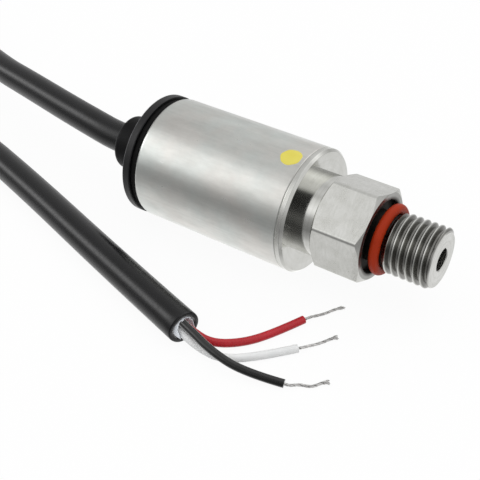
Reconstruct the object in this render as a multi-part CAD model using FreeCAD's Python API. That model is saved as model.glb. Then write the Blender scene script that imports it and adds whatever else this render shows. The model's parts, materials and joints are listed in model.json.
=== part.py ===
import FreeCAD, Part
import math
import os

# Pressure transmitter lying on its side, in millimetres. The X axis of the model runs along the
# body towards the threaded port, Z is up, the floor is z = 0 and the origin is under mid-length.

# Housing tube
TUBE_RADIUS = 11.65
TUBE_WALL = 1.0
TUBE_LENGTH = 31.07
TUBE_REAR_ROUND = 0.7

# Rear cap, its seal and the flexible boss that the cable leaves through
CAP_RIM_THICKNESS = 1.5
CAP_RIM_ROUND = 0.15
CAP_SKIRT_DEPTH = 6.0
CAP_SKIRT_WALL = 1.4
CAP_WEB_FILLET = 0.6
SEAL_THICKNESS = 1.2
SEAL_INSET = 0.5
BOSS_RADIUS = 5.3
BOSS_LENGTH = 7.7
BOSS_ROUND = 0.9
GROMMET_WAIST_RADIUS = 4.0
GROMMET_LIP_RADIUS = 5.6
GROMMET_LIP_THICKNESS = 1.4
EDGE_ROUND = 0.3

# Machined port: flange, neck, hexagon, seal seat, threaded stub and pressure bore
FLANGE_THICKNESS = 1.38
FLANGE_CHAMFER = 0.45
SPIGOT_LENGTH = 2.5
NECK_RADIUS = 7.64
NECK_LENGTH = 3.4
NECK_ROOT_FILLET = 0.15
HEX_ACROSS_FLATS = 15.875
HEX_LENGTH = 9.7
HEX_CHAMFER_DEG = 30.0
HEX_TURN_DEG = 10.4
SEAT_RADIUS = 6.75
SEAT_DEPTH = 1.3
UNDERCUT_RADIUS = 4.7
UNDERCUT_LENGTH = 2.5
THREAD_RADIUS = 5.556
THREAD_LENGTH = 9.02
THREAD_TIP_CHAMFER = 0.55
BORE_RADIUS = 2.05
BORE_MOUTH_CHAMFER = 0.15
STEM_RADIUS = 4.5
STEM_LENGTH = 6.0
DIAPHRAGM_THICKNESS = 0.35
O_RING_SECTION = 1.83
O_RING_GAP = 0.64

# Paint dot on the tube
DOT_RADIUS = 1.95
DOT_THICKNESS = 0.12
DOT_FROM_FRONT = 2.67
DOT_TURN_DEG = 12.5

# Sensing and electronics
GAUGE_SIZE = (0.15, 1.7, 0.7)
GAUGE_SPACING = 1.9
GAUGE_BOARD_CLEARANCE = 0.73
GAUGE_BOARD_THICKNESS = 0.8
SPACER_LENGTH = 8.0
SPACER_WALL = 0.9
BOARD_CLEARANCE = 0.35
BOARD_THICKNESS = 1.0
POST_RADIUS = 0.45
POST_FROM_EDGE = 1.8
POST_COUNT = 3
POST_TURN_DEG = 60.0
CHIP_SIZE = (1.6, 6.4, 5.6)
CAPACITOR_SIZE = (1.5, 3.2, 1.8)
CAPACITOR_OFFSET = 5.6
RESISTOR_SIZE = (0.6, 1.3, 2.0)
RESISTOR_COUNT = 4
RESISTOR_PITCH = 2.2
RESISTOR_OFFSET = 5.4
SOLDER_RADIUS = 1.05
SOLDER_TOP_RADIUS = 0.75
SOLDER_HEIGHT = 0.6
SOLDER_FROM_EDGE = 2.2
SOLDER_SPREAD_DEG = 26.0
FERRULE_WALL = 0.7
FERRULE_LENGTH = 3.2
STUB_REACH = 2.0

# Cable
CABLE_RADIUS = 3.0
JACKET_BORE_RADIUS = 2.1
JACKET_BORE_DEPTH = 4.0
WRAP_THICKNESS = 0.2
WRAP_REACH = 0.6
CORE_RADIUS = 0.725
CORE_CIRCLE_RADIUS = 0.88
CORE_STRAIGHT = 1.0
STRAND_RADIUS = 0.28
STRAND_STRAIGHT = 1.1
COIL_CENTRE = (-129.0, -2.0)
COIL_RADIUS = 30.0
COIL_LAYERS = 2

SLIP = 0.02
BEND_SHARE = 0.45

AXIS_HEIGHT = TUBE_RADIUS
X = FreeCAD.Vector(1, 0, 0)

# Stations along the body, from the cable end to the port's tip
OVERALL_LENGTH = (BOSS_LENGTH + CAP_RIM_THICKNESS + SEAL_THICKNESS + TUBE_LENGTH + FLANGE_THICKNESS
                  + NECK_LENGTH + HEX_LENGTH + UNDERCUT_LENGTH + THREAD_LENGTH)
x_boss = -OVERALL_LENGTH / 2
x_cap = x_boss + BOSS_LENGTH
x_seal = x_cap + CAP_RIM_THICKNESS
x_tube = x_seal + SEAL_THICKNESS
x_flange = x_tube + TUBE_LENGTH
x_neck = x_flange + FLANGE_THICKNESS
x_hex = x_neck + NECK_LENGTH
x_undercut = x_hex + HEX_LENGTH
x_thread = x_undercut + UNDERCUT_LENGTH
x_tip = x_thread + THREAD_LENGTH
x_spigot = x_flange - SPIGOT_LENGTH
x_stem = x_flange - STEM_LENGTH
x_gauge_board = x_spigot - GAUGE_BOARD_THICKNESS
x_board_front = x_spigot - SPACER_LENGTH
x_board_rear = x_board_front - BOARD_THICKNESS
x_lip = x_seal + GROMMET_LIP_THICKNESS
x_ferrule = x_lip + FERRULE_LENGTH
x_stub = x_ferrule + STUB_REACH

tube_bore_radius = TUBE_RADIUS - TUBE_WALL
spacer_bore_radius = tube_bore_radius - SLIP - SPACER_WALL
board_radius = tube_bore_radius - BOARD_CLEARANCE
gauge_board_radius = spacer_bore_radius - GAUGE_BOARD_CLEARANCE

# Routes of the free cable and its stripped cores, corner points on the floor's side of the body
COIL_ENTRY_DEG = 66.0
COIL_EXIT_DEG = -52.0
LEAD_ROUTE = [(-37.4, 0.0, 11.65), (-42.4, 0.6, 11.95), (-52.0, 2.4, 12.0), (-66.0, 5.6, 11.8),
              (-78.2, 8.4, 11.4), (-98.5, 16.0, 10.6)]
TAIL_ROUTE = [(-94.7, -10.5, 3.0), (-75.5, -6.2, 3.0), (-48.5, -14.2, 3.0), (-20.5, -23.4, 3.0),
              (2.4, -30.5, 3.0)]
CORE_ROUTES = {
    "black": [(9.4, -32.5, 2.9), (15.6, -32.1, 1.3), (22.0, -30.1, 0.73)],
    "white": [(6.2, -31.3, 0.95), (10.6, -31.2, 0.73), (15.5, -26.9, 0.73), (19.4, -21.9, 0.73)],
    "red": [(7.2, -29.3, 1.0), (11.3, -25.8, 0.73), (14.2, -20.8, 0.73), (16.4, -15.2, 0.73)],
}
STRAND_ROUTES = {
    "black": [(24.6, -28.5, 0.35), (26.0, -27.3, 0.3), (27.7, -25.5, 0.45)],
    "white": [(20.9, -19.6, 0.35), (21.8, -17.8, 0.3), (23.3, -15.4, 0.45)],
    "red": [(17.6, -12.8, 0.35), (18.5, -10.9, 0.3), (20.3, -8.0, 0.45)],
}
# Angle at which each core lies round the middle of the cable
CORE_PLACES_DEG = {"black": 90.0, "white": 210.0, "red": 330.0}


def corner_arc(before, corner, after, radius):
    """Tangent arc that rounds a corner: its start, middle and end points."""
    to_before = (before - corner).normalize()
    to_after = (after - corner).normalize()
    half = to_before.getAngle(to_after) / 2
    reach = radius / math.tan(half)
    middle = (to_before + to_after).normalize() * (radius / math.sin(half) - radius)
    return corner + to_before * reach, corner + middle, corner + to_after * reach


def rounded_outline(corners):
    """Closed face in the XZ plane from corners (x, z) or (x, z, rounding radius)."""
    points = [FreeCAD.Vector(c[0], 0, c[1]) for c in corners]
    edges = []
    first = None
    last = None
    for i, corner in enumerate(corners):
        point = points[i]
        start = end = point
        arc = None
        if len(corner) == 3:
            start, middle, end = corner_arc(points[i - 1], point, points[(i + 1) % len(points)], corner[2])
            arc = Part.Arc(start, middle, end).toShape()
        if last is None:
            first = start
        else:
            edges.append(Part.LineSegment(last, start).toShape())
        if arc:
            edges.append(arc)
        last = end
    edges.append(Part.LineSegment(last, first).toShape())
    return Part.Face(Part.Wire(edges))


def turned(corners):
    """Solid of revolution about the body's axis from an outline of (x, radius) corners."""
    return rounded_outline(corners).revolve(FreeCAD.Vector(0, 0, 0), X, 360)


def sleeve(x_start, x_end, outer, inner):
    return turned([(x_start, inner), (x_start, outer), (x_end, outer), (x_end, inner)])


def radial(degrees):
    """Unit vector square to the axis, turned from straight up towards -Y."""
    angle = math.radians(degrees)
    return FreeCAD.Vector(0, -math.sin(angle), math.cos(angle))


def block(size, x_rear_face, y, z):
    """Box standing on a board's rear face, its height measured along -X."""
    height, width, depth = size
    return Part.makeBox(height, width, depth,
                        FreeCAD.Vector(x_rear_face - height, y - width / 2, z - depth / 2))


def bent_tube(points, radius, label):
    """Round tube along straight runs joined by the largest tangent arcs that the runs allow."""
    runs = [(b - a).Length for a, b in zip(points, points[1:])]
    edges = []
    bends = []
    last = points[0]
    for i in range(1, len(points) - 1):
        half = (points[i - 1] - points[i]).getAngle(points[i + 1] - points[i]) / 2
        bend = BEND_SHARE * min(runs[i - 1], runs[i]) * math.tan(half)
        start, middle, end = corner_arc(points[i - 1], points[i], points[i + 1], bend)
        edges.append(Part.LineSegment(last, start).toShape())
        edges.append(Part.Arc(start, middle, end).toShape())
        bends.append(round(bend, 1))
        last = end
    edges.append(Part.LineSegment(last, points[-1]).toShape())
    path = Part.Wire(edges)
    section = Part.Wire(Part.makeCircle(radius, points[0], points[1] - points[0]))
    tube = path.makePipeShell([section], True, False)
    expected = math.pi * radius ** 2 * path.Length
    print(label, "length", round(path.Length, 1), "bend radii", bends,
          "volume / expected", round(tube.Volume / expected, 4))
    return tube


def vectors(route):
    return [FreeCAD.Vector(*point) for point in route]


def coil_point(degrees, height):
    angle = math.radians(degrees)
    return FreeCAD.Vector(COIL_CENTRE[0] + COIL_RADIUS * math.cos(angle),
                          COIL_CENTRE[1] + COIL_RADIUS * math.sin(angle), height)


def hexagon():
    """Chamfered hexagon bar with its seal seat sunk into the front face."""
    corner_radius = HEX_ACROSS_FLATS / 2 / math.cos(math.pi / 6)
    corners = [radial(HEX_TURN_DEG + 60 * k) * corner_radius + X * x_hex for k in range(6)]
    prism = Part.Face(Part.makePolygon(corners + corners[:1])).extrude(X * HEX_LENGTH)
    flat_radius = HEX_ACROSS_FLATS / 2
    chamfer = (corner_radius - flat_radius) * math.tan(math.radians(HEX_CHAMFER_DEG))
    envelope = turned([(x_hex, 0), (x_hex, flat_radius), (x_hex + chamfer, corner_radius + SLIP),
                       (x_undercut - chamfer, corner_radius + SLIP), (x_undercut, flat_radius),
                       (x_undercut, SEAT_RADIUS), (x_undercut - SEAT_DEPTH, SEAT_RADIUS),
                       (x_undercut - SEAT_DEPTH, 0)])
    return prism.common(envelope)


def pressure_port():
    relief = THREAD_RADIUS - UNDERCUT_RADIUS
    bore_end = x_stem + DIAPHRAGM_THICKNESS
    body = turned([(x_stem, 0), (x_stem, STEM_RADIUS, EDGE_ROUND), (x_spigot, STEM_RADIUS),
                   (x_spigot, tube_bore_radius - SLIP), (x_flange, tube_bore_radius - SLIP),
                   (x_flange, TUBE_RADIUS), (x_neck - FLANGE_CHAMFER, TUBE_RADIUS),
                   (x_neck, TUBE_RADIUS - FLANGE_CHAMFER), (x_neck, NECK_RADIUS, NECK_ROOT_FILLET),
                   (x_hex, NECK_RADIUS), (x_hex + relief, UNDERCUT_RADIUS),
                   (x_thread, UNDERCUT_RADIUS), (x_thread + relief, THREAD_RADIUS),
                   (x_tip - THREAD_TIP_CHAMFER, THREAD_RADIUS), (x_tip, THREAD_RADIUS - THREAD_TIP_CHAMFER),
                   (x_tip, 0)])
    bore = turned([(bore_end, 0), (bore_end, BORE_RADIUS), (x_tip - BORE_MOUTH_CHAMFER, BORE_RADIUS),
                   (x_tip, BORE_RADIUS + BORE_MOUTH_CHAMFER), (x_tip, 0)])
    return body.fuse(hexagon()).cut(bore).removeSplitter()


def port_o_ring():
    section = O_RING_SECTION / 2
    centre = FreeCAD.Vector(x_undercut + O_RING_GAP + section, 0, 0)
    return Part.makeTorus(UNDERCUT_RADIUS + section, section, centre, X)


def housing_tube():
    return turned([(x_tube, tube_bore_radius), (x_tube, TUBE_RADIUS, TUBE_REAR_ROUND),
                   (x_flange, TUBE_RADIUS), (x_flange, tube_bore_radius)])


def yellow_dot():
    outer = sleeve(x_tube, x_flange, TUBE_RADIUS + DOT_THICKNESS, TUBE_RADIUS)
    centre = FreeCAD.Vector(x_flange - DOT_FROM_FRONT, 0, 0)
    punch = Part.makeCylinder(DOT_RADIUS, 2 * TUBE_RADIUS, centre, radial(DOT_TURN_DEG))
    return outer.common(punch)


def rear_cap():
    skirt_outer = tube_bore_radius - SLIP
    skirt_end = x_seal + CAP_SKIRT_DEPTH
    skirt_inner = skirt_outer - CAP_SKIRT_WALL
    return turned([(x_cap, GROMMET_WAIST_RADIUS + SLIP), (x_cap, TUBE_RADIUS, CAP_RIM_ROUND),
                   (x_seal, TUBE_RADIUS, CAP_RIM_ROUND), (x_seal, skirt_outer),
                   (skirt_end, skirt_outer, EDGE_ROUND), (skirt_end, skirt_inner),
                   (x_seal, skirt_inner, CAP_WEB_FILLET), (x_seal, GROMMET_WAIST_RADIUS + SLIP)])


def cap_seal_ring():
    return sleeve(x_seal, x_tube, TUBE_RADIUS - SEAL_INSET, tube_bore_radius)


def cable_grommet():
    return turned([(x_boss, CABLE_RADIUS), (x_boss, BOSS_RADIUS, BOSS_ROUND), (x_cap, BOSS_RADIUS),
                   (x_cap, GROMMET_WAIST_RADIUS), (x_seal, GROMMET_WAIST_RADIUS),
                   (x_seal, GROMMET_LIP_RADIUS), (x_lip, GROMMET_LIP_RADIUS, EDGE_ROUND),
                   (x_lip, CABLE_RADIUS)])


def cable_stub():
    return Part.makeCylinder(CABLE_RADIUS, x_stub - x_boss, X * x_boss, X)


def cable_ferrule():
    return sleeve(x_lip, x_ferrule, CABLE_RADIUS + FERRULE_WALL, CABLE_RADIUS)


def strain_gauges():
    return Part.makeCompound([block(GAUGE_SIZE, x_stem, 0, side * GAUGE_SPACING / 2) for side in (-1, 1)])


def gauge_board():
    return sleeve(x_gauge_board, x_spigot, gauge_board_radius, STEM_RADIUS + SLIP)


def board_spacer():
    return sleeve(x_board_front, x_spigot, tube_bore_radius - SLIP, spacer_bore_radius)


def board_posts():
    length = x_gauge_board - x_board_front
    posts = []
    for k in range(POST_COUNT):
        direction = radial(POST_TURN_DEG + 360 / POST_COUNT * k)
        base = X * x_board_front + direction * (gauge_board_radius - POST_FROM_EDGE)
        posts.append(Part.makeCylinder(POST_RADIUS, length, base, X))
    return Part.makeCompound(posts)


def circuit_board():
    return turned([(x_board_rear, 0), (x_board_rear, board_radius), (x_board_front, board_radius),
                   (x_board_front, 0)])


def signal_chip():
    return block(CHIP_SIZE, x_board_rear, 0, 0)


def board_capacitors():
    return Part.makeCompound([block(CAPACITOR_SIZE, x_board_rear, 0, side * CAPACITOR_OFFSET)
                              for side in (-1, 1)])


def board_resistors():
    first = -RESISTOR_PITCH * (RESISTOR_COUNT - 1) / 2
    return Part.makeCompound([block(RESISTOR_SIZE, x_board_rear, -RESISTOR_OFFSET, first + RESISTOR_PITCH * k)
                              for k in range(RESISTOR_COUNT)])


def solder_place(k):
    """Centre of the solder joint of core k on the board's rear face."""
    return X * x_board_rear + radial(-90 + SOLDER_SPREAD_DEG * (k - 1)) * (board_radius - SOLDER_FROM_EDGE)


def solder_joints():
    return Part.makeCompound([Part.makeCone(SOLDER_RADIUS, SOLDER_TOP_RADIUS, SOLDER_HEIGHT,
                                            solder_place(k), -X) for k in range(3)])


def inner_core(k):
    """Core from its solder joint to the front face of the clamped cable, inside the housing."""
    joint = solder_place(k) - X * SOLDER_HEIGHT
    end = X * x_stub + radial(-90 + 120 * (k - 1)) * CORE_CIRCLE_RADIUS
    run = (joint.x - end.x) / 4
    points = [joint, joint - X * run, end + X * run, end]
    return bent_tube(points, CORE_RADIUS, "inner core %d" % k)


def coil_section():
    """Corner points (radius from the coil's middle, height) of the coil's outer shape."""
    low = CABLE_RADIUS
    high = CABLE_RADIUS * (2 * COIL_LAYERS - 1)
    inner = COIL_RADIUS - CABLE_RADIUS
    outer = COIL_RADIUS + CABLE_RADIUS
    places = [(inner, low), (COIL_RADIUS, 0), (outer, low), (outer, high),
              (COIL_RADIUS, high + CABLE_RADIUS), (inner, high)]
    return [FreeCAD.Vector(radius, 0, height) for radius, height in places]


def cable_coil():
    """Outer shape of the wound cable: one ring as wide as a turn and as high as its layers."""
    inner_low, bottom, outer_low, outer_high, top, inner_high = coil_section()
    edges = [Part.Arc(inner_low, bottom, outer_low).toShape(),
             Part.LineSegment(outer_low, outer_high).toShape(),
             Part.Arc(outer_high, top, inner_high).toShape(),
             Part.LineSegment(inner_high, inner_low).toShape()]
    ring = Part.Face(Part.Wire(edges)).revolve(FreeCAD.Vector(0, 0, 0), FreeCAD.Vector(0, 0, 1), 360)
    ring.translate(FreeCAD.Vector(COIL_CENTRE[0], COIL_CENTRE[1], 0))
    return ring


def cable_lead(coil):
    high = CABLE_RADIUS * (2 * COIL_LAYERS - 1)
    start = FreeCAD.Vector(x_boss, 0, AXIS_HEIGHT)
    points = [start] + vectors(LEAD_ROUTE) + [coil_point(COIL_ENTRY_DEG, high)]
    tube = bent_tube(points, CABLE_RADIUS, "cable lead").cut(coil)
    return max(tube.Solids, key=lambda solid: solid.Volume)


def tail_end():
    """End of the jacket and the direction in which it points."""
    route = vectors(TAIL_ROUTE)
    return route[-1], (route[-1] - route[-2]).normalize()


def cable_tail(coil):
    points = [coil_point(COIL_EXIT_DEG, CABLE_RADIUS)] + vectors(TAIL_ROUTE)
    tube = bent_tube(points, CABLE_RADIUS, "cable tail").cut(coil)
    tube = max(tube.Solids, key=lambda solid: solid.Volume)
    end, along = tail_end()
    mouth = Part.makeCylinder(JACKET_BORE_RADIUS, JACKET_BORE_DEPTH, end - along * JACKET_BORE_DEPTH, along)
    return tube.cut(mouth)


def core_wrap():
    end, along = tail_end()
    base = end - along * JACKET_BORE_DEPTH
    length = JACKET_BORE_DEPTH + WRAP_REACH
    outer = Part.makeCylinder(JACKET_BORE_RADIUS, length, base, along)
    return outer.cut(Part.makeCylinder(JACKET_BORE_RADIUS - WRAP_THICKNESS, length, base, along))


def stripped_core(colour):
    """Core from the bottom of the jacket's mouth to its own stripped end."""
    end, along = tail_end()
    across = FreeCAD.Vector(-along.y, along.x, 0)
    angle = math.radians(CORE_PLACES_DEG[colour])
    offset = across * math.cos(angle) + FreeCAD.Vector(0, 0, math.sin(angle))
    exit_point = end + along * CORE_STRAIGHT + offset * CORE_CIRCLE_RADIUS
    start = exit_point - along * (CORE_STRAIGHT + JACKET_BORE_DEPTH)
    return bent_tube([start, exit_point] + vectors(CORE_ROUTES[colour]), CORE_RADIUS, colour + " core")


def bare_strand(colour):
    """Twisted strands that leave a core's end square to its cut, then bend on the floor."""
    before, cut = vectors(CORE_ROUTES[colour])[-2:]
    straight = cut + (cut - before).normalize() * STRAND_STRAIGHT
    return bent_tube([cut, straight] + vectors(STRAND_ROUTES[colour]), STRAND_RADIUS, colour + " strand")


def export(name, shape):
    shape.exportStep("parts/" + name + ".step")


def main():
    os.makedirs("parts", exist_ok=True)
    on_axis = {
        "pressure_port": pressure_port(),
        "port_o_ring": port_o_ring(),
        "housing_tube": housing_tube(),
        "yellow_dot": yellow_dot(),
        "rear_cap": rear_cap(),
        "cap_seal_ring": cap_seal_ring(),
        "cable_grommet": cable_grommet(),
        "cable_stub": cable_stub(),
        "cable_ferrule": cable_ferrule(),
        "strain_gauges": strain_gauges(),
        "gauge_board": gauge_board(),
        "board_spacer": board_spacer(),
        "board_posts": board_posts(),
        "circuit_board": circuit_board(),
        "signal_chip": signal_chip(),
        "board_capacitors": board_capacitors(),
        "board_resistors": board_resistors(),
        "solder_joints": solder_joints(),
    }
    for k, colour in enumerate(("white", "black", "red")):
        on_axis["inner_core_" + colour] = inner_core(k)
    for name, shape in on_axis.items():
        shape.translate(FreeCAD.Vector(0, 0, AXIS_HEIGHT))
        export(name, shape)

    coil = cable_coil()
    export("cable_coil", coil)
    export("cable_lead", cable_lead(coil))
    export("cable_tail", cable_tail(coil))
    export("core_wrap", core_wrap())
    for colour in CORE_ROUTES:
        export(colour + "_core", stripped_core(colour))
        export(colour + "_strand", bare_strand(colour))


main()
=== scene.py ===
import json
import math
import random

import bmesh
import bpy
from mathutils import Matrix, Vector


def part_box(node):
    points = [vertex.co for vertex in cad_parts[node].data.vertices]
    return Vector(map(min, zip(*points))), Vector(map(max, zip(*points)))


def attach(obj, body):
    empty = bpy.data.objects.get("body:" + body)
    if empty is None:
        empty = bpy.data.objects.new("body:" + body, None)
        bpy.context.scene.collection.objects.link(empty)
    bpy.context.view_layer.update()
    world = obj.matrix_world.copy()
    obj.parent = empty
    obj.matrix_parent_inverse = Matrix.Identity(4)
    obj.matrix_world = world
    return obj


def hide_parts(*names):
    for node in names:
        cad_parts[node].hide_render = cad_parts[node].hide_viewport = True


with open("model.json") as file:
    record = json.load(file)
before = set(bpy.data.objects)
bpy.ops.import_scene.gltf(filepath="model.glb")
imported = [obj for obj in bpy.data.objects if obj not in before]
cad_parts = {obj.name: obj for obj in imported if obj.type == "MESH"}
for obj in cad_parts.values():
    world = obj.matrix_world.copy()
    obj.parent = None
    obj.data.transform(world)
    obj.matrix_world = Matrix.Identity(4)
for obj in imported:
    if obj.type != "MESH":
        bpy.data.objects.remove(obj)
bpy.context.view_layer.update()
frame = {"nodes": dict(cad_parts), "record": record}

MM = 0.001

# Sizes of the solids, in millimetres
TUBE_RADIUS = 11.65
TUBE_BORE_RADIUS = 10.65
TUBE_REAR_ROUND = 0.7
AXIS = TUBE_RADIUS
CAP_BORE_RADIUS = 4.02
CAP_ROUND = 0.15
SEAL_THICKNESS = 1.2
SEAL_RADIUS = 11.15
SEAL_ROUND = 0.2
BOSS_RADIUS = 5.3
BOSS_ROUND = 0.9
FLANGE_THICKNESS = 1.38
FLANGE_CHAMFER = 0.45
NECK_RADIUS = 7.64
NECK_LENGTH = 3.4
HEX_FLAT = 15.875 / 2
HEX_LENGTH = 9.7
HEX_CHAMFER = math.radians(30)
HEX_TURN = math.radians(10.4)
SEAT_RADIUS = 6.75
SEAT_DEPTH = 1.3
UNDERCUT_RADIUS = 4.7
UNDERCUT_LENGTH = 2.5
THREAD_RADIUS = 5.556
THREAD_TIP_CHAMFER = 0.55
BORE_RADIUS = 2.05
BORE_MOUTH_CHAMFER = 0.15
DIAPHRAGM_THICKNESS = 0.35
O_RING_SECTION = 1.83
DOT_RADIUS = 1.95
DOT_FROM_FRONT = 2.67
DOT_TURN = math.radians(12.5)
CABLE_RADIUS = 3.0


def x_range(node):
    """First and last x of a solid, in millimetres."""
    low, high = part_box(node)
    return low[0] / MM, high[0] / MM


# Stations along the body, in millimetres, from the frame
x_boss, _ = x_range("cable_grommet")
x_cap, _ = x_range("rear_cap")
x_tube, x_flange = x_range("housing_tube")
x_neck = x_flange + FLANGE_THICKNESS
x_hex = x_neck + NECK_LENGTH
x_undercut = x_hex + HEX_LENGTH
x_thread = x_undercut + UNDERCUT_LENGTH
x_stem, x_tip = x_range("pressure_port")
x_bore_end = x_stem + DIAPHRAGM_THICKNESS
x_ring = sum(x_range("port_o_ring")) / 2


# ---------------------------------------------------------------- mesh helpers

def new_object(name, vertices, faces):
    """Smooth-shaded mesh object from points in millimetres."""
    mesh = bpy.data.meshes.new(name)
    mesh.from_pydata([Vector(v) * MM for v in vertices], [], faces)
    mesh.validate()
    mesh.update()
    obj = bpy.data.objects.new(name, mesh)
    bpy.context.scene.collection.objects.link(obj)
    mesh.polygons.foreach_set("use_smooth", [True] * len(mesh.polygons))
    return obj


def turn_point(x, radius, angle):
    """Point on the body's axis system; the angle goes from straight up towards -Y."""
    return (x, -radius * math.sin(angle), AXIS + radius * math.cos(angle))


# Distance from a curve to the extra points that keep the shading of the straight beside it true
ARC_GUARD = 0.02


def rounded(profile, steps):
    """Profile corners (x, r) or (x, r, rounding) as points, the rounded ones as arcs."""
    points = []
    for i, corner in enumerate(profile):
        here = Vector(corner[:2])
        if len(corner) == 2:
            points.append(here)
            continue
        before = (Vector(profile[i - 1][:2]) - here).normalized()
        after = (Vector(profile[(i + 1) % len(profile)][:2]) - here).normalized()
        half = before.angle(after) / 2
        reach = corner[2] / math.tan(half)
        centre = here + (before + after).normalized() * (corner[2] / math.sin(half))
        start = (here + before * reach - centre).normalized()
        end = (here + after * reach - centre).normalized()
        points.append(here + before * (reach + ARC_GUARD))
        for k in range(steps + 1):
            points.append(centre + start.slerp(end, k / steps) * corner[2])
        points.append(here + after * (reach + ARC_GUARD))
    return points


def sharp_by_angle(obj, degrees):
    obj.data.set_sharp_from_angle(angle=math.radians(degrees))


def merge_close(obj, distance):
    """Joins the points that lie within the distance of each other."""
    shape = bmesh.new()
    shape.from_mesh(obj.data)
    bmesh.ops.remove_doubles(shape, verts=shape.verts, dist=distance * MM)
    bmesh.ops.dissolve_degenerate(shape, edges=shape.edges, dist=distance * MM)
    bmesh.ops.recalc_face_normals(shape, faces=shape.faces)
    shape.to_mesh(obj.data)
    shape.free()


def ring_faces(rings, sides, closed=True, first=0):
    """Quads from each ring of points to the next, and from the last to the first if closed."""
    faces = []
    for k in range(rings if closed else rings - 1):
        low = first + k * sides
        high = first + (k + 1) % rings * sides
        for c in range(sides):
            n = (c + 1) % sides
            faces.append((low + c, low + n, high + n, high + c))
    return faces


def frames_along(path):
    """Two directions across the path at each of its points, carried along it without twist."""
    frames = []
    side = Vector((0, 0, 1))
    for k in range(len(path)):
        ahead = (path[min(k + 1, len(path) - 1)] - path[max(k - 1, 0)]).normalized()
        side = (side - ahead * side.dot(ahead)).normalized()
        frames.append((side, ahead.cross(side)))
    return frames


def lathe(name, profile, columns):
    """Solid of revolution about the body's axis from an outline of (x, radius) corners."""
    points = rounded(profile, 6)
    vertices = [turn_point(p.x, p.y, math.tau * c / columns) for c in range(columns) for p in points]
    obj = new_object(name, vertices, ring_faces(columns, len(points)))
    sharp_by_angle(obj, 32)
    return obj


# ------------------------------------------------------------ material helpers

def shader(name, **values):
    """New material; returns it with its node tree, Principled node and object coordinates."""
    material = bpy.data.materials.new(name)
    material.use_nodes = True
    tree = material.node_tree
    bsdf = tree.nodes["Principled BSDF"]
    for key, value in values.items():
        bsdf.inputs[key.replace("_", " ")].default_value = value
    coords = tree.nodes.new("ShaderNodeTexCoord").outputs["Object"]
    return material, tree, bsdf, coords


def rgb(r, g, b):
    return (r, g, b, 1.0)


def math_node(tree, operation, a, b=None):
    """Math node on numbers or sockets; returns its result."""
    node = tree.nodes.new("ShaderNodeMath")
    node.operation = operation
    for socket, value in zip(node.inputs, (a, b)):
        if value is None:
            continue
        if isinstance(value, (int, float)):
            socket.default_value = value
        else:
            tree.links.new(value, socket)
    return node.outputs[0]


def times(tree, a, b):
    return math_node(tree, "MULTIPLY", a, b)


def split_axes(tree, coords):
    node = tree.nodes.new("ShaderNodeSeparateXYZ")
    tree.links.new(coords, node.inputs[0])
    return node.outputs


def scaled(tree, coords, scale):
    node = tree.nodes.new("ShaderNodeMapping")
    node.inputs["Scale"].default_value = scale
    tree.links.new(coords, node.inputs["Vector"])
    return node.outputs[0]


def noise(tree, coords, scale, detail=3.0, roughness=0.55):
    node = tree.nodes.new("ShaderNodeTexNoise")
    node.inputs["Scale"].default_value = scale
    node.inputs["Detail"].default_value = detail
    node.inputs["Roughness"].default_value = roughness
    tree.links.new(coords, node.inputs["Vector"])
    return node.outputs["Fac"]


def remap(tree, value, low, high, to_low, to_high):
    """Value stretched from one range to another, and held at its ends."""
    node = tree.nodes.new("ShaderNodeMapRange")
    for socket, number in zip(node.inputs[1:5], (low, high, to_low, to_high)):
        socket.default_value = number
    tree.links.new(value, node.inputs[0])
    return node.outputs[0]


def within(tree, value, low, high, edge):
    """1 where the value lies between low and high, fading over the edge width; in millimetres."""
    rise = remap(tree, value, (low - edge) * MM, low * MM, 0.0, 1.0)
    return times(tree, rise, remap(tree, value, high * MM, (high + edge) * MM, 1.0, 0.0))


def ramp(tree, value, stops):
    """Colour by value, from stops of (position, colour)."""
    node = tree.nodes.new("ShaderNodeValToRGB")
    elements = node.color_ramp.elements
    while len(elements) < len(stops):
        elements.new(0.5)
    for element, (position, colour) in zip(elements, stops):
        element.position = position
        element.color = colour
    tree.links.new(value, node.inputs[0])
    return node.outputs[0]


def mix_colours(tree, factor, a, b):
    node = tree.nodes.new("ShaderNodeMix")
    node.data_type = "RGBA"
    for socket, source in ((0, factor), (6, a), (7, b)):
        tree.links.new(source, node.inputs[socket])
    return node.outputs[2]


def bump(tree, bsdf, height, strength):
    node = tree.nodes.new("ShaderNodeBump")
    node.inputs["Strength"].default_value = strength
    node.inputs["Distance"].default_value = 0.1 * MM
    tree.links.new(height, node.inputs["Height"])
    tree.links.new(node.outputs[0], bsdf.inputs["Normal"])


def turned_coords(tree, coords):
    """(x, distance from the body's axis, 0): constant round each turning mark."""
    x, y, z = split_axes(tree, coords)
    height = math_node(tree, "SUBTRACT", z, AXIS * MM)
    square = math_node(tree, "ADD", times(tree, y, y), times(tree, height, height))
    join = tree.nodes.new("ShaderNodeCombineXYZ")
    tree.links.new(x, join.inputs[0])
    tree.links.new(math_node(tree, "SQRT", square), join.inputs[1])
    return join.outputs[0]


def marks_over_blotches(tree, marks, blotches, share):
    """Both patterns as one value; share is what the marks make up of it."""
    return math_node(tree, "ADD", times(tree, marks, share), times(tree, blotches, 1 - share))


# ------------------------------------------------------------------- materials

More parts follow.
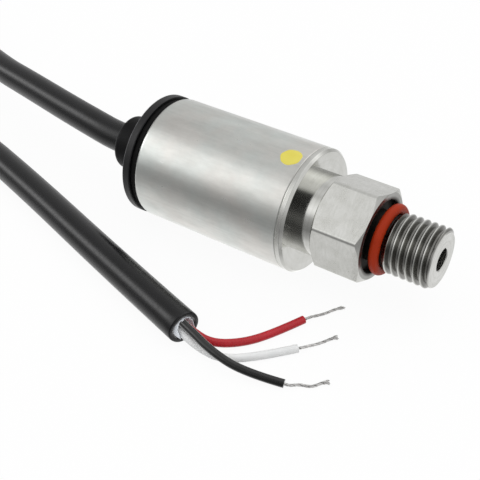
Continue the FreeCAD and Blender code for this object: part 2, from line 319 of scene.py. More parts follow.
def drawn_steel():
    """Satin stainless tube: fine lengthwise marks over soft blotches."""
    material, tree, bsdf, coords = shader("tube_steel", Metallic=1.0)
    marks = noise(tree, scaled(tree, coords, (60, 1500, 1500)), 1.0, 4.0, 0.6)
    blotches = noise(tree, scaled(tree, coords, (220, 420, 420)), 1.0, 5.0, 0.65)
    mixed = marks_over_blotches(tree, marks, blotches, 0.3)
    grey = ramp(tree, mixed, [(0.3, rgb(0.64, 0.64, 0.62)), (0.7, rgb(0.8, 0.8, 0.78))])
    tint = ramp(tree, noise(tree, coords, 110.0),
                [(0.36, rgb(0.96, 1.0, 0.99)), (0.64, rgb(1.0, 0.98, 0.96))])
    tinted = tree.nodes.new("ShaderNodeVectorMath")
    tinted.operation = "MULTIPLY"
    tree.links.new(grey, tinted.inputs[0])
    tree.links.new(tint, tinted.inputs[1])
    tree.links.new(tinted.outputs[0], bsdf.inputs["Base Color"])
    tree.links.new(remap(tree, mixed, 0.3, 0.7, 0.36, 0.26), bsdf.inputs["Roughness"])
    bump(tree, bsdf, marks, 0.05)
    return material


def painted_shade_places(tree, along, radius):
    """Masks of painted shade on the port: the seat with the hexagon's face round it, and those together with
    the thread's roots. The seat and roots get painted shade; the face gets a painted reflection of the
    ring's shaded back.
    """
    # Painted shade over the seat's recess and the undercut beyond it
    seat = times(tree, within(tree, along, x_undercut - SEAT_DEPTH, x_thread - 0.5, 0.1),
                 within(tree, radius, 0.0, SEAT_RADIUS + 0.12, 0.05))
    # Painted reflection of the ring's shaded back on the hexagon's front face, stronger near the seat
    face = times(tree, within(tree, along, x_undercut - 0.02, x_thread, 0.02),
                 remap(tree, radius, (SEAT_RADIUS + 0.15) * MM, (SEAT_RADIUS + 0.7) * MM, 0.9, 0.5))
    seat = math_node(tree, "MAXIMUM", seat, face)
    # Painted shade in the thread's roots, fading to none at the crests
    depth = remap(tree, radius, (THREAD_RADIUS - 0.2) * MM, (THREAD_RADIUS - 0.03) * MM, 0.7, 0.0)
    groove = times(tree, within(tree, along, x_thread - 0.4, x_tip - 0.2, 0.1), depth)
    groove = times(tree, groove, within(tree, radius, 4.0, 9.0, 0.1))
    return seat, math_node(tree, "MAXIMUM", seat, groove)


def turned_steel():
    """Machined stainless port: polished neck, satin hexagon, with painted shade in the seat and the thread's
    roots and a painted reflection on the hexagon's face round the seat.
    """
    material, tree, bsdf, coords = shader("port_steel", Metallic=1.0)
    turned = turned_coords(tree, coords)
    along, radius, _ = split_axes(tree, turned)
    marks = noise(tree, scaled(tree, turned, (2500, 2500, 1)), 1.0, 3.0, 0.6)
    blotches = noise(tree, coords, 330.0, 4.0, 0.6)
    mixed = marks_over_blotches(tree, marks, blotches, 0.4)
    steel_colour = ramp(tree, mixed, [(0.32, rgb(0.59, 0.59, 0.555)), (0.68, rgb(0.725, 0.725, 0.70))])
    # Colour of the painted shade in the seat and roots, and of the painted reflection round the seat
    dark = ramp(tree, blotches, [(0.3, rgb(0.05, 0.045, 0.04)), (0.7, rgb(0.1, 0.095, 0.085))])
    seat, painted_shade = painted_shade_places(tree, along, radius)
    tree.links.new(mix_colours(tree, painted_shade, steel_colour, dark), bsdf.inputs["Base Color"])
    polish = remap(tree, within(tree, along, x_flange + 1.0, x_hex - 0.1, 0.1), 0.0, 1.0, 1.0, 0.45)
    rough = times(tree, remap(tree, mixed, 0.3, 0.7, 0.3, 0.18), polish)
    tree.links.new(math_node(tree, "MAXIMUM", rough, times(tree, seat, 0.6)), bsdf.inputs["Roughness"])
    bump(tree, bsdf, marks, 0.05)
    return material


def moulded(name, dark, light, roughness, grain_scale, grain, specular):
    """Moulded or extruded plastic or rubber: a fine grain, slightly uneven in colour and sheen."""
    material, tree, bsdf, coords = shader(name, Specular_IOR_Level=specular)
    fine = noise(tree, coords, grain_scale)
    broad = noise(tree, coords, 180.0, 2.0)
    tree.links.new(ramp(tree, broad, [(0.3, rgb(*dark)), (0.7, rgb(*light))]), bsdf.inputs["Base Color"])
    tree.links.new(remap(tree, fine, 0.3, 0.7, roughness - 0.06, roughness + 0.06), bsdf.inputs["Roughness"])
    bump(tree, bsdf, fine, grain)
    return material


def paint_edge_highlight(material, x, radius, colour):
    """Painted highlight: a lighter line along a black moulding's turned edge, where it would catch the
    light.
    """
    tree = material.node_tree
    base = tree.nodes["Principled BSDF"].inputs["Base Color"]
    coords = tree.nodes.new("ShaderNodeTexCoord").outputs["Object"]
    along, out, _ = split_axes(tree, turned_coords(tree, coords))
    edge = times(tree, within(tree, along, x - 0.2, x + 0.12, 0.08),
                 within(tree, out, radius - 0.12, radius + 1.0, 0.08))
    uneven = remap(tree, noise(tree, coords, 700.0, 4.0), 0.35, 0.65, 0.2, 1.0)
    light = tree.nodes.new("ShaderNodeRGB")
    light.outputs[0].default_value = colour
    mixed = mix_colours(tree, times(tree, edge, uneven), base.links[0].from_socket, light.outputs[0])
    tree.links.new(mixed, base)


# Darkest and lightest colour, roughness, scale and strength of the grain, and specular level
MOULDED = {
    "red_elastomer": ((0.29, 0.022, 0.004), (0.37, 0.03, 0.006), 0.45, 2500, 0.2, 0.12),
    "yellow_paint": ((0.66, 0.57, 0.07), (0.72, 0.64, 0.11), 0.4, 1500, 0.2, 0.5),
    "cap_plastic": ((0.002, 0.002, 0.002), (0.005, 0.005, 0.006), 0.42, 3000, 0.25, 0.5),
    "black_elastomer": ((0.002, 0.002, 0.002), (0.004, 0.004, 0.004), 0.6, 3000, 0.2, 0.15),
    "boss_elastomer": ((0.002, 0.002, 0.002), (0.005, 0.005, 0.006), 0.45, 3000, 0.3, 0.15),
    "jacket": ((0.0015, 0.0015, 0.002), (0.003, 0.003, 0.004), 0.27, 2600, 0.1, 0.5),
    "brass": ((0.6, 0.42, 0.16), (0.72, 0.52, 0.24), 0.35, 2000, 0.1, 0.5),
    "silicon": ((0.05, 0.05, 0.06), (0.08, 0.08, 0.1), 0.25, 2000, 0.05, 0.5),
    "board_laminate": ((0.02, 0.16, 0.05), (0.04, 0.24, 0.08), 0.4, 2500, 0.1, 0.5),
    "white_plastic": ((0.72, 0.72, 0.7), (0.82, 0.82, 0.8), 0.45, 2500, 0.1, 0.5),
    "chip_plastic": ((0.015, 0.015, 0.015), (0.03, 0.03, 0.03), 0.55, 2500, 0.1, 0.5),
    "capacitor_body": ((0.38, 0.26, 0.14), (0.5, 0.38, 0.22), 0.5, 2500, 0.1, 0.5),
    "solder": ((0.55, 0.55, 0.55), (0.7, 0.7, 0.7), 0.3, 2500, 0.1, 0.5),
    "white_insulation": ((0.7, 0.71, 0.71), (0.8, 0.8, 0.8), 0.4, 2200, 0.1, 0.5),
    "black_insulation": ((0.003, 0.003, 0.003), (0.007, 0.007, 0.007), 0.22, 900, 0.3, 0.7),
    "red_insulation": ((0.38, 0.005, 0.012), (0.46, 0.008, 0.018), 0.3, 2200, 0.1, 0.5),
    "wrap_film": ((0.7, 0.74, 0.8), (0.85, 0.88, 0.92), 0.35, 2500, 0.2, 0.5),
    "tinned_copper": ((0.62, 0.61, 0.6), (0.85, 0.84, 0.83), 0.22, 3000, 0.1, 0.5),
}
MATERIALS = {"tube_steel": drawn_steel(), "port_steel": turned_steel()}
for name, looks in MOULDED.items():
    MATERIALS[name] = moulded(name, *looks)
# Painted highlight along the cap's rear edge
paint_edge_highlight(MATERIALS["cap_plastic"], x_cap, TUBE_RADIUS, rgb(0.16, 0.16, 0.17))
for metal in ("brass", "solder", "tinned_copper"):
    MATERIALS[metal].node_tree.nodes["Principled BSDF"].inputs["Metallic"].default_value = 1.0


def finish_piece(obj, slot, *nodes):
    """Gives a new piece its material and slot; it rides on the body and stands for these CAD nodes."""
    obj.data.materials.append(MATERIALS[slot])
    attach(obj, "root")
    if nodes:
        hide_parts(*nodes)
    return obj


# ---------------------------------------------------------------------- camera

CAMERA_PLACE = (81.653, -128.731, 114.888)
CAMERA_AIM = (-0.45629, 0.65978, -0.59707)
CAMERA_LENS = 75.54


def add_camera():
    data = bpy.data.cameras.new("camera")
    data.sensor_width = 36.0
    data.lens = CAMERA_LENS
    data.clip_start = 0.01
    data.clip_end = 10.0
    camera = bpy.data.objects.new("camera", data)
    camera.location = Vector(CAMERA_PLACE) * MM
    camera.rotation_euler = Vector(CAMERA_AIM).to_track_quat("-Z", "Y").to_euler()
    bpy.context.scene.collection.objects.link(camera)
    bpy.context.scene.camera = camera


add_camera()


# ----------------------------------------------------------------------- cable

COIL_CENTRE = (-129.0, -2.0)
COIL_RADIUS = 30.2
COIL_POINTS_PER_TURN = 20
COIL_START_DEG = 76
COIL_END_DEG = 670
COIL_HEIGHTS = (9.0, 3.0)
# Where the upper turn comes down to the lower one
COIL_DROP_DEG = (318, 422)
LEAD_ROUTE = [(-37.4, 0.0, 11.65), (-42.4, 0.6, 11.95), (-52.0, 2.4, 12.0), (-66.0, 5.6, 11.8),
              (-78.2, 8.4, 11.4), (-98.5, 16.0, 10.6)]
TAIL_ROUTE = [(-94.7, -10.5, 3.0), (-75.5, -6.2, 3.0), (-48.5, -14.2, 3.0), (-20.5, -23.4, 3.0),
              (2.4, -30.5, 3.0)]
# How deep the cut end of the jacket is hollow
MOUTH_DEPTH = 4.0


def nurbs(name, points, radius):
    """Round cord along an open NURBS spline with these control points, in millimetres."""
    data = bpy.data.curves.new(name, "CURVE")
    data.dimensions = "3D"
    spline = data.splines.new("NURBS")
    spline.points.add(len(points) - 1)
    for target, point in zip(spline.points, points):
        target.co = (*(c * MM for c in point), 1.0)
    spline.order_u = 3
    spline.use_endpoint_u = True
    spline.resolution_u = 12
    data.bevel_depth = radius * MM
    data.bevel_resolution = 8
    data.use_fill_caps = True
    obj = bpy.data.objects.new(name, data)
    bpy.context.scene.collection.objects.link(obj)
    return obj


def coil_turns():
    """Points of the put-away turns: an upper turn that comes down beside its start and a lower turn."""
    down, low = COIL_DROP_DEG
    upper, lower = COIL_HEIGHTS
    step = 360 / COIL_POINTS_PER_TURN
    points = []
    for k in range(round((COIL_END_DEG - COIL_START_DEG) / step) + 1):
        degrees = COIL_START_DEG + k * step
        angle = math.radians(degrees)
        fall = min(max((degrees - down) / (low - down), 0.0), 1.0)
        points.append((COIL_CENTRE[0] + COIL_RADIUS * math.cos(angle),
                       COIL_CENTRE[1] + COIL_RADIUS * math.sin(angle), upper - (upper - lower) * fall))
    return points


def tail_axis():
    """End of the jacket and the way it points."""
    end = Vector(TAIL_ROUTE[-1])
    return end, (end - Vector(TAIL_ROUTE[-2])).normalized()


def add_cable():
    """The whole cable from the boss to where the hollow end of its jacket starts."""
    end, along = tail_axis()
    route = [(x_boss, 0.0, AXIS)] + LEAD_ROUTE + coil_turns() + TAIL_ROUTE[:-1]
    route.append(tuple(end - along * MOUTH_DEPTH))
    cable = nurbs("cable", route, CABLE_RADIUS)
    return finish_piece(cable, "jacket", "cable_lead", "cable_coil", "cable_tail")


cable = add_cable()


# ------------------------------------------------------ cut end, cores, strands

JACKET_BORE_RADIUS = 2.1
WRAP_RADIUS = 1.98
WRAP_INNER_RADIUS = 1.88
WRAP_TEAR_RADIUS = 1.95
WRAP_TEAR_THICKNESS = 0.08
CORE_RADIUS = 0.725
CORE_CIRCLE_RADIUS = 0.88
CORE_STRAIGHT = 1.0
CORE_PLACES_DEG = {"black": 90.0, "white": 210.0, "red": 330.0}
CORE_ROUTES = {
    "black": [(9.4, -32.5, 2.9), (15.6, -32.1, 1.3), (22.0, -30.1, 0.73)],
    "white": [(6.2, -31.3, 0.95), (10.6, -31.2, 0.73), (15.5, -26.9, 0.73), (19.4, -21.9, 0.73)],
    "red": [(7.2, -29.3, 1.0), (11.3, -25.8, 0.73), (14.2, -20.8, 0.73), (16.4, -15.2, 0.73)],
}
STRAND_ROUTES = {
    "black": [(24.6, -28.5, 0.35), (26.0, -27.3, 0.3), (27.7, -25.5, 0.45)],
    "white": [(20.9, -19.6, 0.35), (21.8, -17.8, 0.3), (23.3, -15.4, 0.45)],
    "red": [(17.6, -12.8, 0.35), (18.5, -10.9, 0.3), (20.3, -8.0, 0.45)],
}
STRAND_STRAIGHT = 1.1
# How far the middle wire of each strand waves to either side
STRAND_WAVES = {"black": 0.2, "white": 0.06, "red": 0.08}
WIRE_RADIUS = 0.09
WIRE_COUNT = 6
WIRE_TWIST_LENGTH = 2.4
WIRE_LOOSE_LENGTH = 1.2


def tail_frame():
    """End of the jacket, the way it points, and the two directions across it."""
    end, along = tail_axis()
    across = Vector((-along.y, along.x, 0.0))
    return end, along, across, Vector((0.0, 0.0, 1.0))


def sleeve_on_tail(name, sections, columns):
    """Closed sleeve on the tail's axis from rings of (place past its end, radius).

    Either number may be a function of the angle round the axis."""
    end, along, across, up = tail_frame()
    vertices = []
    for place, radius in sections:
        for c in range(columns):
            angle = math.tau * c / columns
            where = place(angle) if callable(place) else place
            size = radius(angle) if callable(radius) else radius
            vertices.append(end + along * where + (across * math.cos(angle) + up * math.sin(angle)) * size)
    obj = new_object(name, vertices, ring_faces(len(sections), columns))
    sharp_by_angle(obj, 40)
    return obj


def add_jacket_end():
    """Last stretch of the jacket, hollow, with a slightly uneven knife cut."""
    def cut(inset):
        return lambda angle: 0.10 * math.sin(angle + 0.6) + 0.05 * math.sin(3 * angle + 1.0) - inset

    def bore(angle):
        return JACKET_BORE_RADIUS + 0.06 * math.sin(2 * angle + 0.4) + 0.04 * math.sin(5 * angle)

    sections = [(-MOUTH_DEPTH, CABLE_RADIUS), (-2.0, CABLE_RADIUS), (cut(0.3), CABLE_RADIUS),
                (cut(0.1), CABLE_RADIUS - 0.06), (cut(0.0), CABLE_RADIUS - 0.2),
                (cut(0.0), JACKET_BORE_RADIUS + 0.2), (cut(0.15), bore), (-2.0, bore), (-MOUTH_DEPTH, bore)]
    return finish_piece(sleeve_on_tail("jacket_end", sections, 96), "jacket")


def add_wrap():
    """Film round the cores, torn unevenly at the cut, with a tongue left standing on one side."""
    random.seed(11)
    waves = [(n, random.uniform(0.05, 0.16), random.uniform(0, math.tau)) for n in (1, 2, 3, 5, 9, 14)]

    def tongue(angle):
        off = (angle - math.radians(195) + math.pi) % math.tau - math.pi
        return max(0.0, math.cos(min(abs(off) * 1.45, math.pi / 2)))

    def tear(angle):
        return 0.15 + sum(a * math.sin(n * angle + p) for n, a, p in waves) + 0.85 * tongue(angle)

    def outside(angle):
        return WRAP_TEAR_RADIUS - 0.14 * tongue(angle)

    def inside(angle):
        return outside(angle) - WRAP_TEAR_THICKNESS

    sections = [(-MOUTH_DEPTH, WRAP_RADIUS), (-1.0, WRAP_RADIUS), (0.0, WRAP_RADIUS - 0.01), (tear, outside),
                (tear, inside), (0.0, WRAP_INNER_RADIUS), (-1.0, WRAP_INNER_RADIUS),
                (-MOUTH_DEPTH, WRAP_INNER_RADIUS)]
    return finish_piece(sleeve_on_tail("wrap", sections, 144), "wrap_film", "core_wrap")


def core_points(colour):
    """Route of a core: from its place in the jacket straight out of the mouth, then over the floor."""
    end, along, across, up = tail_frame()
    angle = math.radians(CORE_PLACES_DEG[colour])
    place = (across * math.cos(angle) + up * math.sin(angle)) * CORE_CIRCLE_RADIUS
    out = end + along * CORE_STRAIGHT + place
    inside = out - along * (CORE_STRAIGHT + MOUTH_DEPTH)
    return [tuple(inside), tuple(out)] + CORE_ROUTES[colour]


def add_core(colour):
    core = nurbs(colour + "_wire", core_points(colour), CORE_RADIUS)
    return finish_piece(core, colour + "_insulation", colour + "_core")


def line_of(points, count):
    """Evenly spaced points along the spline of a route, and its length."""
    guide = nurbs("guide", points, 0.0)
    guide.data.splines[0].resolution_u = 24
    bpy.context.view_layer.update()
    mesh = bpy.data.meshes.new_from_object(guide.evaluated_get(bpy.context.evaluated_depsgraph_get()))
    path = [v.co / MM for v in mesh.vertices]
    bpy.data.objects.remove(guide)
    lengths = [0.0]
    for a, b in zip(path, path[1:]):
        lengths.append(lengths[-1] + (b - a).length)
    result = []
    at = 0
    for k in range(count):
        want = lengths[-1] * k / (count - 1)
        while at < len(path) - 2 and lengths[at + 1] < want:
            at += 1
        share = (want - lengths[at]) / max(lengths[at + 1] - lengths[at], 1e-9)
        result.append(path[at].lerp(path[at + 1], min(max(share, 0.0), 1.0)))
    return result, lengths[-1]


def add_wire(path, vertices, faces):
    """Adds a closed round wire along the path to the lists."""
    sides = 8
    first = len(vertices)
    for point, (side, other) in zip(path, frames_along(path)):
        for c in range(sides):
            angle = math.tau * c / sides
            vertices.append(point + (side * math.cos(angle) + other * math.sin(angle)) * WIRE_RADIUS)
    faces += ring_faces(len(path), sides, False, first)
    faces.append(tuple(first + c for c in reversed(range(sides))))
    last = first + (len(path) - 1) * sides
    faces.append(tuple(last + c for c in range(sides)))


def outer_wire(middle, frames, alongs, w):
    """Course of one of the outer wires, which lie in two groups of three, twisted, loose at the tip."""
    course = []
    for point, (up, other), along in zip(middle, frames, alongs):
        turn = math.tau * (w // 3 / 2 + w % 3 * 0.125 + along / WIRE_TWIST_LENGTH)
        loose = max(0.0, along - alongs[-1] + WIRE_LOOSE_LENGTH) * 0.1 * (1 + w % 2)
        spread = 2 * WIRE_RADIUS * (0.95 + 0.1 * math.sin(1.7 * along + w)) + loose
        course.append(point + (up * math.cos(turn) + other * math.sin(turn)) * spread)
    shorter_by = w * 5 % 4 * 2
    return course[:len(course) - shorter_by]


def add_strand(colour):
    """Bare end of a core: fine wires twisted round a middle one that waves a little."""
    before, cut = (Vector(p) for p in CORE_ROUTES[colour][-2:])
    way = (cut - before).normalized()
    route = [tuple(cut - way * 0.4), tuple(cut + way * STRAND_STRAIGHT)] + STRAND_ROUTES[colour]
    path, length = line_of(route, 110)
    frames = frames_along(path)
    alongs = [length * k / (len(path) - 1) for k in range(len(path))]
    wave = STRAND_WAVES[colour]
    middle = [point + other * wave * math.sin(1.5 * along + 0.6) * min(along / 2, 1.0)
              for point, (_, other), along in zip(path, frames, alongs)]
    vertices = []
    faces = []
    add_wire(middle, vertices, faces)
    for w in range(WIRE_COUNT):
        add_wire(outer_wire(middle, frames, alongs, w), vertices, faces)
    obj = new_object(colour + "_bare_wires", vertices, faces)
    sharp_by_angle(obj, 60)
    return finish_piece(obj, "tinned_copper", colour + "_strand")


on_cable = [add_jacket_end(), add_wrap()]
for colour in CORE_ROUTES:
    on_cable += [add_core(colour), add_strand(colour)]


# ---------------------------------------------------------------- machined port

# Where the hexagon's flats start, past its rear face
HEX_SIDE_START = 0.15
HEX_EDGE_ROUND = 0.8
FLANGE_EDGE_ROUND = 0.08
THREAD_PITCH = 1.35
THREAD_DEPTH = 0.78
THREAD_CREST = 0.16
THREAD_FLANK = THREAD_DEPTH * math.tan(math.radians(30))
THREAD_ROOT = THREAD_PITCH - THREAD_CREST - 2 * THREAD_FLANK
# Share of a turn by which the helix is turned on the stub
THREAD_LEAD = -0.187
# Whole turns that reach past both ends of the stub
THREAD_TURNS = range(-2, 9)
SEAM_ROUND = 0.16
# Where the port's skin starts, hidden in its joint with the tube
SKIN_START_RADIUS = 10.9
EDGE_BREAK = 0.1
# As ARC_GUARD, at the ends of the hexagon's flats
EDGE_GUARD = 0.03


def port_angles():
    """Angles round the axis, with extra ones close to the hexagon's corners."""
    near = [0.0, 0.5, 1.0, 1.5, 2.0, 2.57, 2.65, 3.5]
    degrees = near + [5.0 + 2.0 * k for k in range(26)] + [60.0 - d for d in reversed(near[1:])]
    return [HEX_TURN + math.radians(60 * k + d) for k in range(6) for d in degrees]


def hex_radius(angle):
    """Distance to the hexagon's side, its corners rounded."""
    off = (angle - HEX_TURN) % (math.pi / 3)
    from_corner = min(off, math.pi / 3 - off)
    half = math.pi / 6
    centre = (HEX_FLAT - HEX_EDGE_ROUND) / math.cos(half)
    touch = math.atan2(HEX_EDGE_ROUND * math.sin(half), centre + HEX_EDGE_ROUND * math.cos(half))
    if from_corner > touch:
        return HEX_FLAT / math.cos(half - from_corner)
    side = centre * math.sin(from_corner)
    return centre * math.cos(from_corner) + math.sqrt(HEX_EDGE_ROUND ** 2 - side ** 2)


def thread_form(turns):
    """Radius of the thread at a number of turns from the start of its root."""
    place = turns % 1.0 * THREAD_PITCH - THREAD_ROOT
    low = THREAD_RADIUS - THREAD_DEPTH
    if place <= 0:
        return low
    if place <= THREAD_FLANK:
        return low + place / THREAD_FLANK * THREAD_DEPTH
    if place <= THREAD_FLANK + THREAD_CREST:
        return THREAD_RADIUS
    return THREAD_RADIUS - (place - THREAD_FLANK - THREAD_CREST) / THREAD_FLANK * THREAD_DEPTH


def thread_places():
    """Places along one pitch, in turns, where the form bends, with steps on its flanks."""
    up = [THREAD_ROOT + THREAD_FLANK * k / 4 for k in range(5)]
    down = [up[-1] + THREAD_CREST + THREAD_FLANK * k / 4 for k in range(4)]
    return [place / THREAD_PITCH for place in [0.0] + up + down]


def thread_rows(angle):
    """Points (x, r) along the stub at one angle: a right-hand helix inside chamfered ends."""
    lead = (angle - HEX_TURN) / math.tau + THREAD_LEAD
    rows = []
    for turn in THREAD_TURNS:
        for place in thread_places():
            x = x_thread + THREAD_PITCH * (turn + place + lead)
            x = min(max(x, x_thread), x_tip)
            form = thread_form((x - x_thread) / THREAD_PITCH - lead)
            start = UNDERCUT_RADIUS + (x - x_thread)
            end = THREAD_RADIUS - THREAD_TIP_CHAMFER + (x_tip - x)
            rows.append((x, min(form, start, end)))
    return rows


def port_rows(angle):
    """Points (x, r) of the port before its thread at one angle."""
    side = hex_radius(angle)
    slope = (side - HEX_FLAT) * math.tan(HEX_CHAMFER)
    start = x_hex + HEX_SIDE_START + slope
    end = x_undercut - slope
    x_seat = x_undercut - SEAT_DEPTH
    flange = [(x_flange, SKIN_START_RADIUS), (x_flange, TUBE_RADIUS, SEAM_ROUND),
              (x_neck - FLANGE_CHAMFER, TUBE_RADIUS, FLANGE_EDGE_ROUND),
              (x_neck, TUBE_RADIUS - FLANGE_CHAMFER, FLANGE_EDGE_ROUND)]
    neck = [(x_neck, NECK_RADIUS), (x_hex, NECK_RADIUS), (x_hex, HEX_FLAT - EDGE_BREAK),
            (x_hex + EDGE_BREAK, HEX_FLAT)]
    hexagon = [(start, side), (start + EDGE_GUARD, side), (end - EDGE_GUARD, side), (end, side),
               (x_undercut, HEX_FLAT)]
    seat = [(x_undercut, SEAT_RADIUS + EDGE_BREAK), (x_undercut - EDGE_BREAK, SEAT_RADIUS),
            (x_seat, SEAT_RADIUS), (x_seat, UNDERCUT_RADIUS)]
    return [tuple(p) for p in rounded(flange + neck, 4)] + hexagon + seat


def end_rows():
    """Points (x, r) of the chamfered mouth and the bore, down to the middle of its end."""
    return [(x_tip, BORE_RADIUS + BORE_MOUTH_CHAMFER), (x_tip - BORE_MOUTH_CHAMFER, BORE_RADIUS),
            (x_tip - 8.0, BORE_RADIUS), (x_bore_end + 1.0, BORE_RADIUS), (x_bore_end, BORE_RADIUS),
            (x_bore_end, 0.0)]


def add_port():
    """One turned and milled piece: flange, neck, hexagon, seal seat, threaded stub and bore."""
    angles = port_angles()
    columns = [port_rows(a) + thread_rows(a) + end_rows() for a in angles]
    rows = len(columns[0])
    first_thread = len(port_rows(0.0))
    last_thread = first_thread + len(thread_rows(0.0))
    per_turn = len(thread_places())
    vertices = [turn_point(x, r, a) for a, column in zip(angles, columns) for x, r in column]

    def beside(row, wraps):
        """Row of the next column that meets this one: a turn on, where the helix comes round."""
        if wraps and first_thread <= row < last_thread:
            return min(row + per_turn, last_thread - 1)
        return row

    faces = []
    for c in range(len(angles)):
        wraps = c == len(angles) - 1
        a = c * rows
        b = 0 if wraps else a + rows
        for r in range(rows - 1):
            faces.append((a + r, a + r + 1, b + beside(r + 1, wraps), b + beside(r, wraps)))
    obj = new_object("pressure_port_steel", vertices, faces)
    merge_close(obj, 0.002)
    sharp_by_angle(obj, 28)
    return finish_piece(obj, "port_steel", "pressure_port")


add_port()


# --------------------------------------------------- tube, cap, boss, ring, dot

def add_turned(name, slot, node, profile, columns=256):
    return finish_piece(lathe(name, profile, columns), slot, node)


def add_body():
    """Tube, cap and boss, with the seal between tube and cap."""
    x_seal = x_tube - SEAL_THICKNESS
    add_turned("tube", "tube_steel", "housing_tube",
               [(x_tube, TUBE_BORE_RADIUS), (x_tube, TUBE_RADIUS, TUBE_REAR_ROUND),
                (x_flange, TUBE_RADIUS, SEAM_ROUND), (x_flange, TUBE_BORE_RADIUS)])
    add_turned("cap", "cap_plastic", "rear_cap",
               [(x_cap, CAP_BORE_RADIUS), (x_cap, TUBE_RADIUS, CAP_ROUND),
                (x_seal, TUBE_RADIUS, CAP_ROUND), (x_seal, CAP_BORE_RADIUS)])
    add_turned("cap_ring", "black_elastomer", "cap_seal_ring",
               [(x_seal, TUBE_BORE_RADIUS), (x_seal, SEAL_RADIUS, SEAL_ROUND),
                (x_tube, SEAL_RADIUS, SEAL_ROUND), (x_tube, TUBE_BORE_RADIUS)])
    add_turned("boss", "boss_elastomer", "cable_grommet",
               [(x_boss, CABLE_RADIUS), (x_boss, BOSS_RADIUS, BOSS_ROUND),
                (x_cap, BOSS_RADIUS), (x_cap, CABLE_RADIUS)])


add_body()


def add_seal_ring():
    """Seal ring round the thread's relief."""
    section = O_RING_SECTION / 2
    turns = [math.tau * k / 32 for k in range(32)]
    profile = [(x_ring + section * math.cos(turn), UNDERCUT_RADIUS + section + section * math.sin(turn))
               for turn in turns]
    add_turned("seal_ring", "red_elastomer", "port_o_ring", profile, 192)


add_seal_ring()


DOT_HEIGHT = 0.1
# How far the dab's edge sinks into the tube
DOT_SINK = 0.01


def add_dot():
    """Dab of paint on the tube: a thin dome with an uneven edge."""
    random.seed(4)
    waves = [(k, random.uniform(-0.018, 0.018), random.uniform(0, math.tau)) for k in (2, 3, 5, 7)]
    rings = 12
    spokes = 72
    vertices = []
    for ring in range(rings + 1):
        share = ring / rings
        height = DOT_HEIGHT * math.sqrt(1 - share ** 3) if ring < rings else -DOT_SINK
        for k in range(spokes):
            angle = math.tau * k / spokes
            uneven = sum(a * math.sin(n * angle + p) for n, a, p in waves)
            radius = DOT_RADIUS * share * (1 + uneven * share)
            x = x_flange - DOT_FROM_FRONT + radius * math.cos(angle)
            turn = DOT_TURN + radius * math.sin(angle) / TUBE_RADIUS
            vertices.append(turn_point(x, TUBE_RADIUS + height, turn))
    obj = new_object("paint_dot", vertices, ring_faces(rings + 1, spokes, False))
    merge_close(obj, 0.001)
    return finish_piece(obj, "yellow_paint", "yellow_dot")


add_dot()


# ---------------------------------------------------------------- stage, light

# Share of plain white in the floor that the camera sees; the rest takes shadows
FLOOR_WHITE = 0.94


def add_floor():
    """Pale floor with soft, faint shadows; reflections look past it at the studio."""
    bpy.ops.mesh.primitive_plane_add(size=3.0, location=(0, 0, 0))
    floor = bpy.context.object
    floor.name = "floor"
    material, tree, bsdf, _ = shader("floor", Roughness=0.9)
    bsdf.inputs["Base Color"].default_value = rgb(0.8, 0.8, 0.8)
    path = tree.nodes.new("ShaderNodeLightPath")
    white = tree.nodes.new("ShaderNodeEmission")
    clear = tree.nodes.new("ShaderNodeBsdfTransparent")
    seen = tree.nodes.new("ShaderNodeMixShader")
    tree.links.new(times(tree, path.outputs["Is Camera Ray"], FLOOR_WHITE), seen.inputs[0])
    tree.links.new(bsdf.outputs[0], seen.inputs[1])
    tree.links.new(white.outputs[0], seen.inputs[2])
    mix = tree.nodes.new("ShaderNodeMixShader")
    tree.links.new(path.outputs["Is Glossy Ray"], mix.inputs[0])
    tree.links.new(seen.outputs[0], mix.inputs[1])
    tree.links.new(clear.outputs[0], mix.inputs[2])
    tree.links.new(mix.outputs[0], tree.nodes["Material Output"].inputs["Surface"])
    floor.data.materials.append(material)


# What mirror-like rays see in place of the floor and the world: brightness by direction, fitted
# to the reflections in the real one's metal. The direction is in degrees from straight up
# towards -Y, for rays that go well to the left (-X), a little to the left, and to the right
STUDIO_FAR_LEFT = [(-180, 0.92), (-168, 0.97), (-156, 1.05), (-144, 1.3), (-136, 1.2), (-126, 0.66),
                   (-108, 0.7), (-96, 0.69), (-84, 0.61), (-60, 0.64), (-48, 0.54), (-24, 0.57), (0, 0.48),
                   (12, 0.67), (24, 1.1), (36, 1.2), (48, 1.32), (60, 1.2), (72, 0.95), (84, 0.41),
                   (96, 0.25), (108, 0.32), (120, 0.52), (132, 0.66), (144, 0.79), (156, 0.84), (180, 0.92)]
STUDIO_LEFT = [(-180, 1), (-168, 1.02), (-156, 1.05), (-144, 1.3), (-136, 1.25), (-120, 0.97), (-108, 0.94),
               (-96, 0.79), (-84, 0.69), (-72, 0.7), (-60, 0.78), (-48, 0.83), (-36, 0.74), (-24, 0.62),
               (0, 0.78), (12, 0.63), (24, 0.84), (36, 0.98), (48, 1.11), (60, 0.94), (72, 0.47),
               (84, 0.36), (96, 0.29), (108, 0.24), (120, 0.38), (132, 0.5), (144, 0.76), (156, 0.81),
               (180, 1)]
STUDIO_RIGHT = [(-180, 0.85), (-150, 0.9), (-125, 0.85), (-108, 0.5), (-84, 0.55), (-72, 0.8), (-60, 1.2),
                (-48, 1.45), (-36, 1.3), (-24, 1.1), (-12, 1.05), (0, 0.9), (7, 0.55), (14, 0.1), (22, 0.04),
                (48, 0.03), (66, 0.06), (84, 0.14), (108, 0.07), (128, 0.1), (146, 0.26), (158, 0.42),
                (170, 0.62), (180, 0.85)]
# Far to the right, by height from the floor up
STUDIO_END = [(-1.0, 0.9), (-0.6, 0.6), (-0.45, 0.4), (-0.34, 0.28), (-0.2, 0.33), (-0.07, 0.42),
              (0.07, 0.6), (0.19, 0.72), (0.3, 0.8), (1.0, 0.85)]
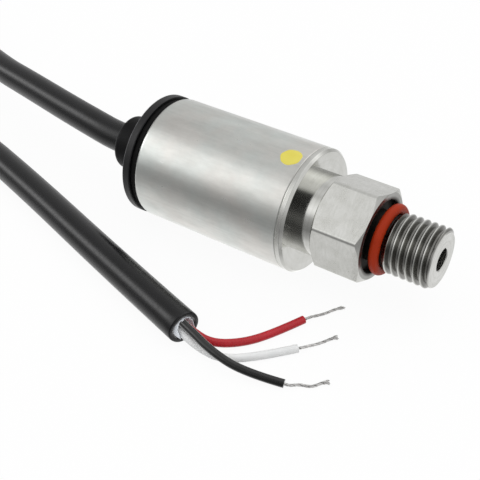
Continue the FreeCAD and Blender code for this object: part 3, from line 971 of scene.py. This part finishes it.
# Far to the left: one large soft box over the cable
STUDIO_SIDE = [(-180, 0.9), (-120, 0.6), (-60, 0.5), (0, 0.45), (10, 0.5), (20, 1.2), (30, 2.7), (48, 2.7),
               (60, 1.3), (72, 0.5), (84, 0.4), (110, 0.3), (132, 0.6), (156, 0.8), (180, 0.9)]
STUDIO_PEAK = 3.0
# From side to end: each zone takes over from the one before it between these two values of x
STUDIO_BLENDS = [(-0.71, -0.65), (-0.56, -0.40), (-0.25, 0.3), (0.54, 0.68)]


def studio_ramp(tree, place, stops, low, high):
    """Grey by place, which runs from 0 to 1, from stops of (number between low and high, brightness)."""
    grey = [((at - low) / (high - low), rgb(*[value / STUDIO_PEAK] * 3)) for at, value in stops]
    return ramp(tree, place, grey)


def studio_colours(tree, x, y, z):
    """Grey of the studio in a direction, blended from zone to zone along x."""
    angle = math_node(tree, "ARCTAN2", times(tree, y, -1.0), z)
    place = remap(tree, angle, -math.pi, math.pi, 0.0, 1.0)
    height = remap(tree, z, -1.0, 1.0, 0.0, 1.0)
    zones = [studio_ramp(tree, place, stops, -180, 180)
             for stops in (STUDIO_SIDE, STUDIO_FAR_LEFT, STUDIO_LEFT, STUDIO_RIGHT)]
    zones.append(studio_ramp(tree, height, STUDIO_END, -1.0, 1.0))
    seen = zones[0]
    for (low, high), zone in zip(STUDIO_BLENDS, zones[1:]):
        seen = mix_colours(tree, remap(tree, x, low, high, 0.0, 1.0), seen, zone)
    return seen


def add_world():
    """White light for surfaces, stronger from above, and the studio for reflections."""
    world = bpy.data.worlds.new("studio")
    world.use_nodes = True
    tree = world.node_tree
    x, y, z = split_axes(tree, tree.nodes.new("ShaderNodeTexCoord").outputs["Generated"])
    path = tree.nodes.new("ShaderNodeLightPath")
    even = tree.nodes["Background"]
    even.inputs["Color"].default_value = rgb(1, 1, 1)
    # From 0.35 at the horizon to 1.55 straight up, and at least 1 to the camera
    from_above = remap(tree, z, 0.0, 1.0, 0.35, 1.55)
    tree.links.new(math_node(tree, "MAXIMUM", from_above, path.outputs["Is Camera Ray"]),
                   even.inputs["Strength"])
    studio = tree.nodes.new("ShaderNodeBackground")
    studio.inputs["Strength"].default_value = STUDIO_PEAK
    tree.links.new(studio_colours(tree, x, y, z), studio.inputs["Color"])
    choose = tree.nodes.new("ShaderNodeMixShader")
    tree.links.new(path.outputs["Is Glossy Ray"], choose.inputs[0])
    tree.links.new(even.outputs[0], choose.inputs[1])
    tree.links.new(studio.outputs[0], choose.inputs[2])
    tree.links.new(choose.outputs[0], tree.nodes["World Output"].inputs["Surface"])
    # Not sampled as a lamp, as its bright places are for mirror-like rays alone
    world.cycles.sampling_method = "NONE"
    bpy.context.scene.world = world


def hide_from_reflections():
    """Keeps the cable, its end and its cores out of the metal's reflections, but not their bare wires."""
    for obj in [cable] + [piece for piece in on_cable if "bare_wires" not in piece.name]:
        obj.visible_glossy = False


def dress_solids():
    """Gives every solid that came with the frame the material of its slot."""
    slots = {part["node"]: part["material_slot"] for part in frame["record"]["subparts"]}
    for node, obj in frame["nodes"].items():
        obj.data.materials.clear()
        obj.data.materials.append(MATERIALS[slots[node]])


add_floor()
add_world()
hide_from_reflections()
bpy.context.scene.view_settings.view_transform = "Standard"

dress_solids()
